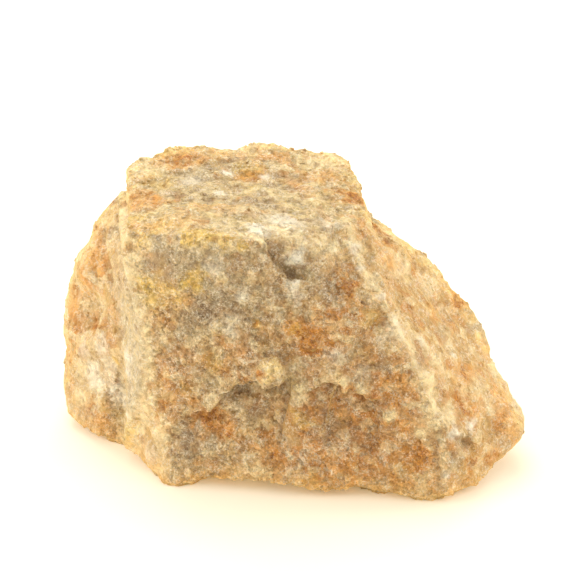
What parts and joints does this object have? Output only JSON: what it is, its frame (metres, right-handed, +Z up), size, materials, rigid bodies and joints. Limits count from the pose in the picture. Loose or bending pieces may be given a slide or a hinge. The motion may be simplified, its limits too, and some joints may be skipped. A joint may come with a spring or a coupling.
{
  "type": "rough akermanite",
  "caption": "Rough broken lump of sugary, iron-stained akermanite with a flat top, a steep front face and a slope running down to a tip; rests on a small flat spot.",
  "frame": {"origin": "middle of the bounding box in X and Y, on the surface that the stone rests on", "axes": "+Z up, +X to the viewer's right along the stone's length, -Y towards the viewer out of the broken front face"},
  "size_m": [0.0406, 0.0244, 0.023],
  "materials": {
    "stone": "sugary broken stone, cream and tan with grey and rust stains"
  },
  "bodies": {
    "root": {"stone": "stone"}
  },
  "joints": []
}
